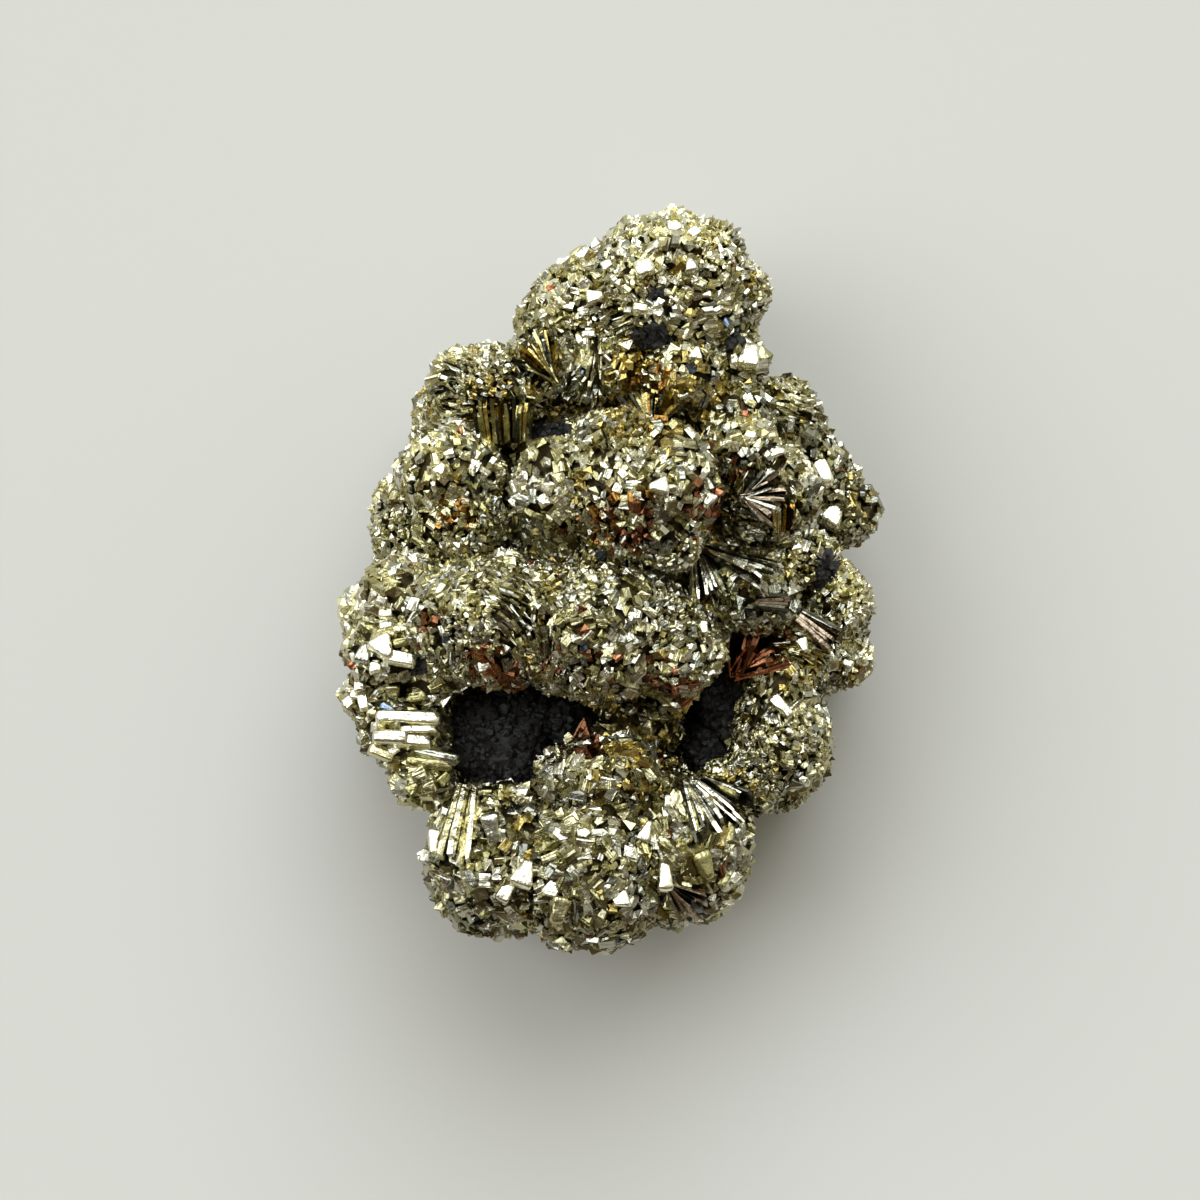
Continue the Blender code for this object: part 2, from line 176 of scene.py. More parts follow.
# The marcasite itself: an iron sulphide that grew as knobs of crystals round many centres. The solid of the
# frame is the mass of them, and its finish is dull tarnished metal, nearly black with painted shade where it
# is seen down between the fine crystals.
KNOBS = {  # x, y, z of the middle, then half the width, length and height, in millimetres
    "crown": (5.2, 24.2, 17.5, 7.6, 6.8, 7.8),
    "crown_left": (-1.6, 23.2, 18.0, 4.9, 4.5, 4.8),
    "crown_right": (11.0, 23.8, 18.3, 2.6, 3.0, 3.6),
    "crown_shoulder": (-4.8, 21.8, 17.0, 3.0, 3.0, 3.6),
    "neck_left": (-0.4, 17.6, 20.4, 3.8, 3.2, 4.0),
    "neck_middle": (6.1, 17.0, 21.0, 4.0, 3.1, 4.0),
    "neck_right": (11.0, 18.4, 19.0, 2.5, 2.9, 3.4),
    "neck_low": (10.6, 14.0, 20.2, 3.4, 2.9, 3.6),
    "shoulder": (-10.0, 15.8, 19.2, 5.3, 4.0, 5.2),
    "shoulder_edge": (-13.6, 14.4, 16.6, 2.7, 2.8, 3.8),
    "shoulder_top": (-5.9, 17.6, 19.6, 3.2, 2.8, 3.4),
    "left": (-12.7, 9.0, 20.6, 5.0, 4.0, 5.0),
    "left_edge": (-16.8, 5.1, 15.0, 2.9, 4.6, 5.0),
    "left_low": (-11.8, 4.6, 21.2, 4.4, 2.8, 4.4),
    "centre": (3.0, 7.6, 24.6, 6.5, 6.1, 7.0),
    "centre_left": (-3.6, 8.0, 24.4, 4.4, 4.1, 5.2),
    "centre_top": (1.0, 11.2, 24.8, 4.0, 2.9, 4.6),
    "centre_low": (4.9, 3.3, 25.2, 3.4, 2.7, 3.8),
    "back_top": (15.0, 14.2, 13.5, 2.8, 2.8, 3.9),
    "back_middle": (17.1, 11.2, 12.6, 2.8, 2.9, 3.9),
    "back_low": (18.6, 8.1, 12.0, 2.2, 2.7, 3.4),
    "back_ball": (20.0, 5.3, 11.4, 1.9, 2.1, 2.6),
    "right": (13.2, 7.3, 19.2, 4.8, 4.8, 6.0),
    "right_top": (10.9, 11.0, 22.0, 3.4, 2.9, 4.2),
    "right_low": (16.0, 2.1, 18.2, 3.6, 2.8, 4.4),
    "ear": (19.3, -1.7, 15.4, 3.3, 3.7, 5.0),
    "ear_low": (19.5, -6.2, 14.6, 2.5, 2.8, 3.6),
    "ear_inner": (16.2, -5.4, 17.0, 3.3, 3.5, 4.6),
    "band_left": (-8.7, -3.0, 22.9, 7.7, 5.7, 7.2),
    "band_middle": (-0.6, -4.0, 24.0, 7.4, 5.9, 7.3),
    "band_right": (5.5, -5.2, 23.9, 3.9, 4.9, 5.8),
    "band_end": (-15.8, -0.8, 20.0, 4.4, 3.8, 5.4),
    "band_fan": (11.0, -0.9, 21.2, 4.9, 3.8, 5.4),
    "hip": (-17.8, -5.4, 18.0, 4.4, 4.0, 5.0),
    "hip_inner": (-14.0, -7.4, 19.2, 3.0, 2.8, 4.0),
    "hip_edge": (-20.0, -2.4, 16.4, 2.5, 2.8, 3.6),
    "hip_low": (-19.1, -9.0, 16.8, 3.4, 2.8, 4.2),
    "prisms": (-16.6, -12.6, 18.4, 4.0, 2.9, 3.6),
    "prisms_low": (-14.7, -16.2, 17.9, 3.5, 2.9, 4.2),
    "corner": (14.5, -12.8, 18.6, 4.5, 5.2, 6.4),
    "corner_top": (14.2, -8.6, 20.0, 2.5, 2.8, 4.0),
    "corner_low": (11.3, -16.6, 19.0, 4.0, 3.1, 4.6),
    "foot_left": (-8.9, -22.6, 20.4, 6.5, 6.6, 7.3),
    "foot_middle": (-1.4, -23.0, 21.4, 6.9, 7.4, 8.4),
    "foot_right": (6.1, -21.9, 20.2, 6.2, 6.5, 7.4),
    "foot_top": (-0.4, -15.8, 22.6, 5.8, 4.0, 5.0),
    "crease": (2.6, -11.6, 17.5, 4.2, 3.4, 5.0),
    "body_crown": (4.9, 22.4, 9.0, 7.6, 7.2, 10.4),
    "body_neck": (-1.5, 16.6, 9.0, 8.0, 7.0, 10.0),
    "body_shoulder": (-10.0, 12.4, 8.2, 6.6, 6.8, 10.2),
    "body_left": (-13.0, 2.4, 8.0, 6.6, 8.8, 10.4),
    "body_hip": (-14.8, -7.0, 8.0, 7.3, 7.8, 10.4),
    "body_right": (13.2, 9.2, 7.4, 6.2, 7.6, 9.6),
    "body_ear": (15.8, -3.4, 7.6, 6.4, 7.2, 9.8),
    "body_corner": (12.8, -13.4, 8.0, 6.2, 6.4, 10.2),
    "body_foot_left": (-7.2, -21.4, 8.8, 8.0, 7.8, 11.0),
    "body_foot_right": (4.2, -21.2, 8.8, 8.0, 7.8, 11.0),
    "body_middle": (0.6, 4.0, 10.0, 13.0, 14.5, 13.6),
}
OUTLINE_MIDDLE = np.array((0.06, 0.04, 0.0))  # in millimetres, what the frame's origin is under

knob_sizes = np.array(list(KNOBS.values()))
knob_middles = (knob_sizes[:, :3] - OUTLINE_MIDDLE) * MM
knob_radii = knob_sizes[:, 3:] * MM


def ellipsoid_grids(middles, radii, around, down):
    """Points and triangles of ellipsoids: each point is the middle plus the radii times the unit vector at
    an angle round the upright axis and an angle down from it."""
    turn, fall = np.meshgrid(np.arange(around) / around * 2 * np.pi, np.linspace(0, np.pi, down + 1))
    ball = np.stack([np.cos(turn) * np.sin(fall), np.sin(turn) * np.sin(fall), np.cos(fall)], axis=2)
    ball = ball.reshape(-1, 3)
    points = middles[:, None] + radii[:, None] * ball
    low = (np.arange(down)[:, None] * around + np.arange(around)).ravel()
    high = (np.arange(down)[:, None] * around + np.roll(np.arange(around), -1)).ravel()
    quads = np.stack([low, low + around, high + around, high], axis=1)
    quads = (np.arange(len(middles))[:, None, None] * len(ball) + quads).reshape(-1, 4)
    return points.reshape(-1, 3), np.concatenate([quads[:, :3], quads[:, [0, 2, 3]]])


def mesh_arrays(mesh):
    """A mesh's points, and the corners' numbers of its triangles."""
    mesh.calc_loop_triangles()
    points = np.empty(len(mesh.vertices) * 3)
    mesh.vertices.foreach_get("co", points)
    corners = np.empty(len(mesh.loop_triangles) * 3, int)
    mesh.loop_triangles.foreach_get("vertices", corners)
    return points.reshape(-1, 3), corners.reshape(-1, 3)


def unit(vectors):
    """The vectors at length 1."""
    return vectors / np.maximum(np.linalg.norm(vectors, axis=-1, keepdims=True), 1e-12)


def scatter(triangles, count, rng):
    """Points spread evenly over triangles, and the normals there.

    The triangles' areas are laid end to end, one point is drawn from each equal stretch of that line, and it
    is placed in its triangle by two random shares folded into the half below the diagonal.
    """
    sides = triangles[:, 1:] - triangles[:, :1]
    normals = np.cross(sides[:, 0], sides[:, 1])
    ends = np.cumsum(np.linalg.norm(normals, axis=1))
    chosen = np.searchsorted(ends, (np.arange(count) + rng.random(count)) / count * ends[-1])
    chosen = np.minimum(chosen, len(triangles) - 1)
    shares = rng.random((count, 2))
    folded = shares.sum(axis=1) > 1
    shares[folded] = 1 - shares[folded]
    points = triangles[chosen, 0] + (sides[chosen] * shares[:, :, None]).sum(axis=1)
    return points, unit(normals)[chosen]


def spaced(points, pitch):
    """Which points to keep so that they lie about a pitch apart.

    The first point in each cube of a grid is kept, and of two kept ones nearer than two thirds of the pitch
    only the first.
    """
    cells = np.floor((points - points.min(axis=0)) / pitch).astype(int) + 1
    kept = np.sort(np.unique(cells, axis=0, return_index=True)[1])
    grid = np.full(cells.max(axis=0) + 2, -1)
    grid[tuple(cells[kept].T)] = kept
    steps = np.stack(np.meshgrid(*[(-1, 0, 1)] * 3, indexing="ij"), axis=-1).reshape(-1, 3)
    beside = grid[tuple((cells[kept][:, None] + steps).reshape(-1, 3).T)].reshape(len(kept), -1)
    gaps = np.linalg.norm(points[beside] - points[kept][:, None], axis=2)
    crowded = (beside >= 0) & (beside < kept[:, None]) & (gaps < 0.67 * pitch)
    return kept[~crowded.any(axis=1)]


def melted(points, faces, softening):
    """Points and triangles of closed shapes that have run together into one skin, with its creases filled by
    the softening, and its lowest part flattened onto the floor of the cores."""
    balls = bpy.data.meshes.new("balls")
    balls.from_pydata(points, [], faces)
    thing = new_object("balls", balls)
    melt = thing.modifiers.new("melt", "REMESH")
    melt.mode = "VOXEL"
    melt.voxel_size = CORE_GRAIN
    soften = thing.modifiers.new("soften", "SMOOTH")
    soften.iterations = softening
    skin = thing.evaluated_get(bpy.context.evaluated_depsgraph_get()).to_mesh()
    points, faces = mesh_arrays(skin)
    bpy.data.objects.remove(thing)
    bpy.data.meshes.remove(balls)
    points[:, 2] = np.maximum(points[:, 2], CORE_FLOOR)
    return points, faces


def dull_material(name, size, detail, ramp, relief, strength, surface):
    """Patches of two colours in a rough relief: a noise of the patches' size picks between the colours, at
    the ramp's positions, and lifts the surface."""
    material, tree, output = new_material(name)
    place = add_node(tree, "ShaderNodeTexCoord").outputs["Object"]
    patches = add_node(tree, "ShaderNodeTexNoise", {"Scale": 1 / size, **detail}, {"Vector": place})
    patches = patches.outputs["Fac"]
    colours = add_node(tree, "ShaderNodeValToRGB", {}, {"Fac": patches})
    for element, (position, colour) in zip(colours.color_ramp.elements, ramp):
        element.position = position
        element.color = (*linear(colour), 1)
    bump = add_node(tree, "ShaderNodeBump", {"Strength": strength, "Distance": relief}, {"Height": patches})
    links = {"Base Color": colours.outputs["Color"], "Normal": bump.outputs["Normal"]}
    shader = add_node(tree, "ShaderNodeBsdfPrincipled", surface, links)
    tree.links.new(shader.outputs[0], output.inputs["Surface"])
    return material


# The dull metal between the crystals: tarnished, and nearly black with painted shade where little light gets.
TARNISH_SIZE = 1.5 * MM
TARNISH_RELIEF = 0.15 * MM
gap_shade_and_tarnish = dull_material(
    "gap_shade_and_tarnish", TARNISH_SIZE, {"Detail": 4.0, "Roughness": 0.65},
    ((0.35, "#1b1911"), (0.7, "#483d24")), TARNISH_RELIEF, 0.7, {"Metallic": 1.0, "Roughness": 0.5},
)

CRYSTAL_BED = 0.75 * MM  # how far the crystals' tips stand over the cores
CORE_INSET = 0.85 * MM  # how far the cores lie inside the knobs
CORE_FLOOR = 0.15 * MM  # the height of their cut underside
CORE_GRAIN = 0.4 * MM  # the finest form of their skin
KNOB_SOFTENING = 44  # rounds of smoothing, which fill the creases between the knobs
LOBE_SOFTENING = 9
LOBE_PITCH = 3.3 * MM
LOBES_TRIED = 6000
LOBE_RADII = (1.6 * MM, 2.5 * MM)
LOBE_FLATTENING = (0.85, 1.15)
FACE_HEIGHT = 14 * MM  # what is above it belongs to the face, not to the flanks under its edge
FLANK_LOBES = 1.35  # how much larger the lobes are on the flanks
LOBE_DEPTH = 0.72  # how deep a lobe's middle lies under the knobs' surface, in its radii

rng = np.random.default_rng(3)
core_radii = knob_radii - CORE_INSET
knob_points, knob_faces = melted(*ellipsoid_grids(knob_middles, core_radii, 32, 16), KNOB_SOFTENING)
lobe_middles, lobe_normals = scatter(knob_points[knob_faces], LOBES_TRIED, rng)
kept = spaced(lobe_middles, LOBE_PITCH)
lobe_radii = rng.uniform(*LOBE_RADII, (len(kept), 1)) * rng.uniform(*LOBE_FLATTENING, (len(kept), 3))
lobe_radii[lobe_middles[kept, 2] < FACE_HEIGHT] *= FLANK_LOBES
lobe_normals = lobe_normals[kept]
lobe_middles = lobe_middles[kept] - lobe_normals * lobe_radii.mean(axis=1, keepdims=True) * LOBE_DEPTH
lobe_points, lobe_faces = ellipsoid_grids(lobe_middles, lobe_radii, 24, 12)
core_points, core_faces = melted(
    np.concatenate([knob_points, lobe_points]),
    np.concatenate([knob_faces, lobe_faces + len(knob_points)]),
    LOBE_SOFTENING,
)
core_triangles = core_points[core_faces]
core_tree = BVHTree.FromPolygons(core_points.tolist(), core_faces.tolist())
core_mesh = bpy.data.meshes.new("knob_cores")
core_mesh.from_pydata(core_points, [], core_faces)
core_mesh.materials.append(gap_shade_and_tarnish)
core = new_object("knob_cores", core_mesh)
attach(core, "root")
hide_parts("marcasite")


# Fans and combs of thin blades, which grew sideways out of the knobs from one root or one line. They are bare
# metallic sulphide with flat faces, silvery where it is fresh and elsewhere tarnished gold, mauve or copper.
METALS = {
    "pale": "#f1edd0", "brass": "#d8d1a0", "olive": "#aea772", "grey": "#b3b39e", "dark": "#4c4a3c",
    "golden": "#c9b46a", "amber": "#ab7e3e", "rust": "#83583a", "copper": "#ad7450", "mauve": "#9d8c74",
    "blue": "#7c8c9c",
}
SILVER = {"pale": 0.55, "grey": 0.25, "dark": 0.2}
GOLD = {"golden": 0.32, "amber": 0.06, "olive": 0.37, "dark": 0.25}
MAUVE = {"mauve": 0.6, "grey": 0.2, "dark": 0.2}
COPPER = {"copper": 0.75, "rust": 0.25}
BRIGHT = {"pale": 0.9, "brass": 0.1}
# A fan's root x, y, its heading and opening in degrees, the base it starts from and its reach, the number and
# the depth of its blades, the lean of their upper edges in x, y, and its metals. Lengths are in millimetres.
FANS = {
    "fan_below_the_centre": (7.4, 2.2, -75, 34, 1.2, 4.4, 14, 1.4, (0.0, 0.35), SILVER),
    "fan_over_the_band": (8.1, 2.4, -24, 26, 0.8, 5.8, 14, 1.4, (0.0, 0.4), SILVER),
    "fan_of_the_right": (11.0, 6.8, 6, 125, 0.3, 3.4, 26, 1.2, (0.0, 0.2), MAUVE),
    "comb_of_the_right": (14.0, 4.5, 90, 14, 1.4, 1.9, 8, 1.2, (0.1, 0.1), GOLD),
    "comb_of_the_ear": (15.8, -2.9, -38, 18, 1.3, 3.9, 10, 1.3, (0.25, 0.15), MAUVE),
    "comb_by_the_ear": (12.1, -1.6, -4, 14, 1.0, 2.6, 7, 1.2, (0.0, 0.2), MAUVE),
    "copper_fan": (10.6, -7.6, 52, 88, 0.3, 4.1, 14, 3.2, (0.0, 0.35), COPPER),
    "comb_of_the_shoulder": (-8.6, 11.9, 91, 14, 4.2, 3.1, 20, 1.5, (-0.1, 0.25), GOLD),
    "fan_of_the_shoulder": (-4.3, 16.4, 125, 66, 0.3, 4.3, 22, 1.4, (-0.1, 0.2), GOLD),
    "fan_of_the_neck": (3.4, 12.9, 90, 100, 1.6, 2.9, 24, 1.5, (0.0, 0.2), GOLD),
    "fan_of_the_foot": (6.4, -16.4, -64, 40, 0.6, 4.6, 14, 1.4, (0.0, 0.3), SILVER),
    "comb_of_the_foot": (7.6, -16.4, -32, 24, 0.8, 5.0, 12, 1.4, (0.0, 0.35), SILVER),
    "comb_of_the_foot_edge": (-11.4, -17.0, -100, 16, 2.0, 5.6, 9, 1.6, (-0.1, 0.35), BRIGHT),
    "fan_of_the_hem": (4.9, -24.4, -38, 60, 0.6, 3.6, 12, 1.4, (0.1, 0.1), MAUVE),
}
BLADE_STAND = 0.45 * MM  # how far a blade's upper edge stands over the knobs
BLADE_ROOT = 0.3 * MM  # how far a blade reaches back past its place
BLADE_LENGTHS = (0.6, 1.0)  # of the fan's reach
BLADE_DEPTHS = (0.8, 1.1)  # of the fan's depth
BLADE_THICKNESSES = (0.8, 1.4)  # of its share of the arc
BLADE_SHOULDERS = (0.75, 0.92)  # the share of its length after which a blade narrows
BLADE_TIPS = ((0.5, 0.9), (0.5, 1.1))  # what is left there of its depth and its thickness
RIDGED_BLADES = 0.35  # the share of the blades with a ridge along the upper edge
STEEPEST_BLADE = 0.7  # the steepest slope of a blade
LOWEST_BED = 21.4 * MM  # fans over a pit are held up to this
SWELL_SIZE = 1.2 * MM  # of the gentle swells that make the faces look less than flat
SWELL_DEPTH = 0.25 * MM
STRIATION_PITCH = 0.25 * MM  # several times the real pitch, so that they show
STRIATION_DEPTH = 0.05 * MM
STEP_SIZE = 0.3 * MM  # of the small steps on the faces
STEP_DEPTH = 0.06 * MM
PATCH_SIZE = 3.5 * MM  # of the patches that are more or less worn
PATCH_SHADES = (0.75, 1.1)
PATCH_ROUGHNESS = (0.14, 0.30)


def bare_marcasite_material():
    """Bare metallic sulphide with the polish of fresh crystal faces. Its colour is the piece's own colour
    attribute, a little darker in patches, and fine striations and steps on the faces scatter the light."""
    material, tree, output = new_material("bare_marcasite")
    place = add_node(tree, "ShaderNodeTexCoord").outputs["Object"]
    colour = add_node(tree, "ShaderNodeAttribute", attribute_name="colour").outputs["Color"]
    across = add_node(tree, "ShaderNodeAttribute", attribute_name="across").outputs["Fac"]
    values = {"Scale": 1 / PATCH_SIZE, "Detail": 3.0, "Roughness": 0.6}
    patches = add_node(tree, "ShaderNodeTexNoise", values, {"Vector": place}).outputs["Fac"]
    values = {"From Min": 0.32, "From Max": 0.68, "To Min": PATCH_SHADES[0], "To Max": PATCH_SHADES[1]}
    shade = add_node(tree, "ShaderNodeMapRange", values, {"Value": patches})
    links = {0: colour, "Scale": shade.outputs["Result"]}
    tinted = add_node(tree, "ShaderNodeVectorMath", {}, links, operation="SCALE")
    relief = (
        (SWELL_DEPTH, {"Scale": 1 / SWELL_SIZE, "Detail": 1.0}, {"Vector": place}, "3D"),
        (STRIATION_DEPTH, {"Scale": 1 / STRIATION_PITCH, "Detail": 1.0}, {"W": across}, "1D"),
        (STEP_DEPTH, {"Scale": 1 / STEP_SIZE, "Detail": 2.0, "Roughness": 0.6}, {"Vector": place}, "3D"),
    )
    normal = {}
    for depth, values, links, dimensions in relief:
        height = add_node(tree, "ShaderNodeTexNoise", values, links, noise_dimensions=dimensions)
        links = {"Height": height.outputs["Fac"], **normal}
        bump = add_node(tree, "ShaderNodeBump", {"Strength": 1.0, "Distance": depth}, links)
        normal = {"Normal": bump.outputs["Normal"]}
    values = {"From Min": 0.3, "From Max": 0.7, "To Min": PATCH_ROUGHNESS[0], "To Max": PATCH_ROUGHNESS[1]}
    worn = add_node(tree, "ShaderNodeMapRange", values, {"Value": patches})
    links = {"Base Color": tinted.outputs["Vector"], "Roughness": worn.outputs["Result"], **normal}
    shader = add_node(tree, "ShaderNodeBsdfPrincipled", {"Metallic": 1.0}, links)
    tree.links.new(shader.outputs[0], output.inputs["Surface"])
    return material


def placed(places, *parts):
    """Each corner is its crystal's place plus distances times directions. Also gives how far each corner lies
    along the last direction, which runs across the striations."""
    corners = places[:, None, None] + sum(far[..., None] * way[:, None, None] for far, way in parts)
    return corners, (corners * parts[-1][1][:, None, None]).sum(axis=3)


def prisms(
    places, axes, wides, width, thickness, height, root, foot, shoulder, tip, shift, slant, sides, turn
):
    """The corners of closed crystals, as an array of crystal, ring, corner and axis, and how far each corner
    lies along its crystal's thin direction, for the striations.

    A polygon is carried along each crystal's axis through three rings: the root under the surface, the
    shoulder and the tip. A ring's corner is the place, plus the axis times the ring's height, plus the wide
    and the thin direction times half the width and thickness, the ring's scale and the cosine and sine of
    the corner's angle. The root and the tip ring are scaled by foot and tip. The tip ring is shifted sideways
    by a share of what it lost, and slanted. A turn of 0 puts a corner in the wide direction. A turn of 0.5
    puts a flat side there, and the corners are moved out so that the side lies at half the width.
    """
    angles = (np.arange(sides) + turn) * 2 * np.pi / sides
    wide_share, thin_share = np.cos(angles), np.sin(angles)
    if turn == 0.5:
        wide_share, thin_share = wide_share / np.cos(np.pi / sides), thin_share / np.cos(np.pi / sides)
    thins = np.cross(axes, wides)
    heights = np.stack([-root, shoulder * height, height], axis=1)
    scales = np.stack([foot * np.ones((len(places), 2)), np.ones((len(places), 2)), tip], axis=1)
    shifts = np.zeros_like(scales)
    shifts[:, 2] = shift * (1 - tip)
    wide = (scales[:, :, :1] * wide_share + shifts[:, :, :1]) * (width / 2)[:, None, None]
    thin = (scales[:, :, 1:] * thin_share + shifts[:, :, 1:]) * (thickness / 2)[:, None, None]
    long = np.repeat(heights[:, :, None], sides, axis=2)
    long[:, 2] += slant[:, :1] * wide[:, 2] + slant[:, 1:] * thin[:, 2]
    return placed(places, (long, axes), (wide, wides), (thin, thins))


def add_crystals(name, parts, material, smooth=False):
    """One mesh of closed crystals: quads between their rings, and a polygon at each end.

    parts is a list of the crystals' corners, the corners' places across the striations, and the crystals'
    linear colours.
    """
    points, across, loops, face_sizes, rgba = [], [], [], [], []
    offset = 0
    for corners, stripes, colours in parts:
        count, rings, sides, _ = corners.shape
        low = (np.arange(rings - 1)[:, None] * sides + np.arange(sides)).ravel()
        high = (np.arange(rings - 1)[:, None] * sides + np.roll(np.arange(sides), -1)).ravel()
        quads = np.stack([low, high, high + sides, low + sides], axis=1).ravel()
        ends = np.concatenate([np.arange(sides)[::-1], np.arange(sides) + (rings - 1) * sides])
        first = offset + np.arange(count)[:, None] * rings * sides
        loops.append((first + np.concatenate([quads, ends])).ravel())
        face_sizes.append(np.tile([4] * len(low) + [sides] * 2, count))
        points.append(corners.reshape(-1, 3))
        across.append(stripes.ravel())
        rgba.append(np.repeat(colours, rings * sides, axis=0))
        offset += count * rings * sides
    points, loops = np.concatenate(points), np.concatenate(loops)
    face_sizes, rgba = np.concatenate(face_sizes), np.concatenate(rgba)
    mesh = bpy.data.meshes.new(name)
    mesh.vertices.add(len(points))
    mesh.vertices.foreach_set("co", points.ravel())
    mesh.loops.add(len(loops))
    mesh.loops.foreach_set("vertex_index", loops)
    mesh.polygons.add(len(face_sizes))
    mesh.polygons.foreach_set("loop_start", np.concatenate([[0], np.cumsum(face_sizes)[:-1]]))
    mesh.update(calc_edges=True)
    mesh.validate()
    (mesh.shade_smooth if smooth else mesh.shade_flat)()
    attribute = mesh.attributes.new("colour", "FLOAT_COLOR", "POINT")
    attribute.data.foreach_set("color", np.concatenate([rgba, np.ones((len(rgba), 1))], axis=1).ravel())
    attribute = mesh.attributes.new("across", "FLOAT", "POINT")
    attribute.data.foreach_set("value", np.concatenate(across))
    mesh.materials.append(material)
    piece = new_object(name, mesh)
    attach(piece, "root")


def metal_colours(count, shares, rng):
    """A linear colour for each crystal, drawn by the metals' shares, each a little lighter or darker."""
    names = list(shares)
    chances = np.array([shares[name] for name in names], float)
    palette = np.array([linear(METALS[name]) for name in names])
    chosen = rng.choice(len(names), count, p=chances / chances.sum())
    return palette[chosen] * rng.uniform(0.8, 1.05, (count, 1))


def heading_of(degrees):
    """The unit x, y of headings and of their left-hand sides."""
    radians = np.radians(degrees)
    along = np.stack([np.cos(radians), np.sin(radians)], axis=-1)
    return along, np.stack([-along[..., 1], along[..., 0]], axis=-1)


def bed_height(places):
    """How high the crystals' bed is at each x, y: where a ray from above meets the cores, plus the bed."""
    hits = [core_tree.ray_cast((x, y, 100 * MM), (0, 0, -1))[0] for x, y in places]
    return np.array([hit.z if hit else 0 for hit in hits]) + CRYSTAL_BED


def fan_blades(root, heading, opening, base, reach, blades, depth, lean, rng):
    """The places, axes, wide directions, depths, thicknesses, root shares and lengths of the blades of a fan.

    A blade starts at the root plus its share of the base, sideways, and heads off by the same share of the
    opening. It stands on edge and slopes as the bed under it does, with its upper edge over it. It fills its
    share of the arc: the base plus the opening times the length, over the number of blades.
    """
    shares = (np.arange(blades) + 0.5 + rng.uniform(-0.3, 0.3, blades)) / blades - 0.5
    along, _ = heading_of(heading + opening * shares + rng.normal(size=blades) * 2)
    _, sideways = heading_of(heading)
    lengths = reach * rng.uniform(*BLADE_LENGTHS, blades)
    starts = root + sideways * (base * shares)[:, None]
    ends = starts + along * lengths[:, None]
    way = np.linspace(0, 1, 5)
    stations = starts[:, None] + (ends - starts)[:, None] * way[:, None]
    beds = np.maximum(bed_height(stations.reshape(-1, 2)).reshape(blades, -1), LOWEST_BED)
    slope = (beds * (way - 0.5)).sum(axis=1) / ((way - 0.5) ** 2).sum()
    slope = np.clip(slope, -STEEPEST_BLADE * lengths, STEEPEST_BLADE * lengths)
    low = (beds - slope[:, None] * way).max(axis=1) + BLADE_STAND - depth / 2
    low = (low + np.median(low)) / 2
    high = low + slope
    places = np.column_stack([starts, low])
    runs = np.column_stack([ends, high]) - places
    axes = unit(runs)
    facing = unit(np.array((*lean, 1.0)) + rng.normal(size=(blades, 3)) * 0.2)
    wides = unit(facing - (facing * axes).sum(axis=1, keepdims=True) * axes)
    thick = (base + np.radians(opening) * lengths) / blades * rng.uniform(*BLADE_THICKNESSES, blades)
    foot = np.column_stack([np.full(blades, 0.8), (base / blades + 0.08 * MM) / thick])
    depths = depth * rng.uniform(*BLADE_DEPTHS, blades)
    return places, axes, wides, depths, thick, foot, np.linalg.norm(runs, axis=1)


crystal_faces = bare_marcasite_material()
rng = np.random.default_rng(5)
fan_parts = []
for x, y, heading, opening, base, reach, blades, depth, lean, metals in FANS.values():
    places, axes, wides, width, thick, foot, length = fan_blades(
        np.array((x, y)) * MM, heading, opening, base * MM, reach * MM, blades, depth * MM, lean, rng
    )
    colours = metal_colours(blades, metals, rng)
    tip = np.column_stack([rng.uniform(*shares, blades) for shares in BLADE_TIPS])
    ridged = rng.random(blades) < RIDGED_BLADES
    for turn, chosen in ((0, ridged), (0.5, ~ridged)):
        n = chosen.sum()
        corners, stripes = prisms(
            places[chosen], axes[chosen], wides[chosen], width[chosen], thick[chosen] * (1.3 - 0.6 * turn),
            length[chosen], np.full(n, BLADE_ROOT), foot[chosen], rng.uniform(*BLADE_SHOULDERS, n),
            tip[chosen], rng.uniform(-0.3, 0.3, (n, 2)), rng.normal(size=(n, 2)) * 0.3, 4, turn,
        )
        fan_parts.append((corners, stripes, colours[chosen]))
add_crystals("blade_fans", fan_parts, crystal_faces)


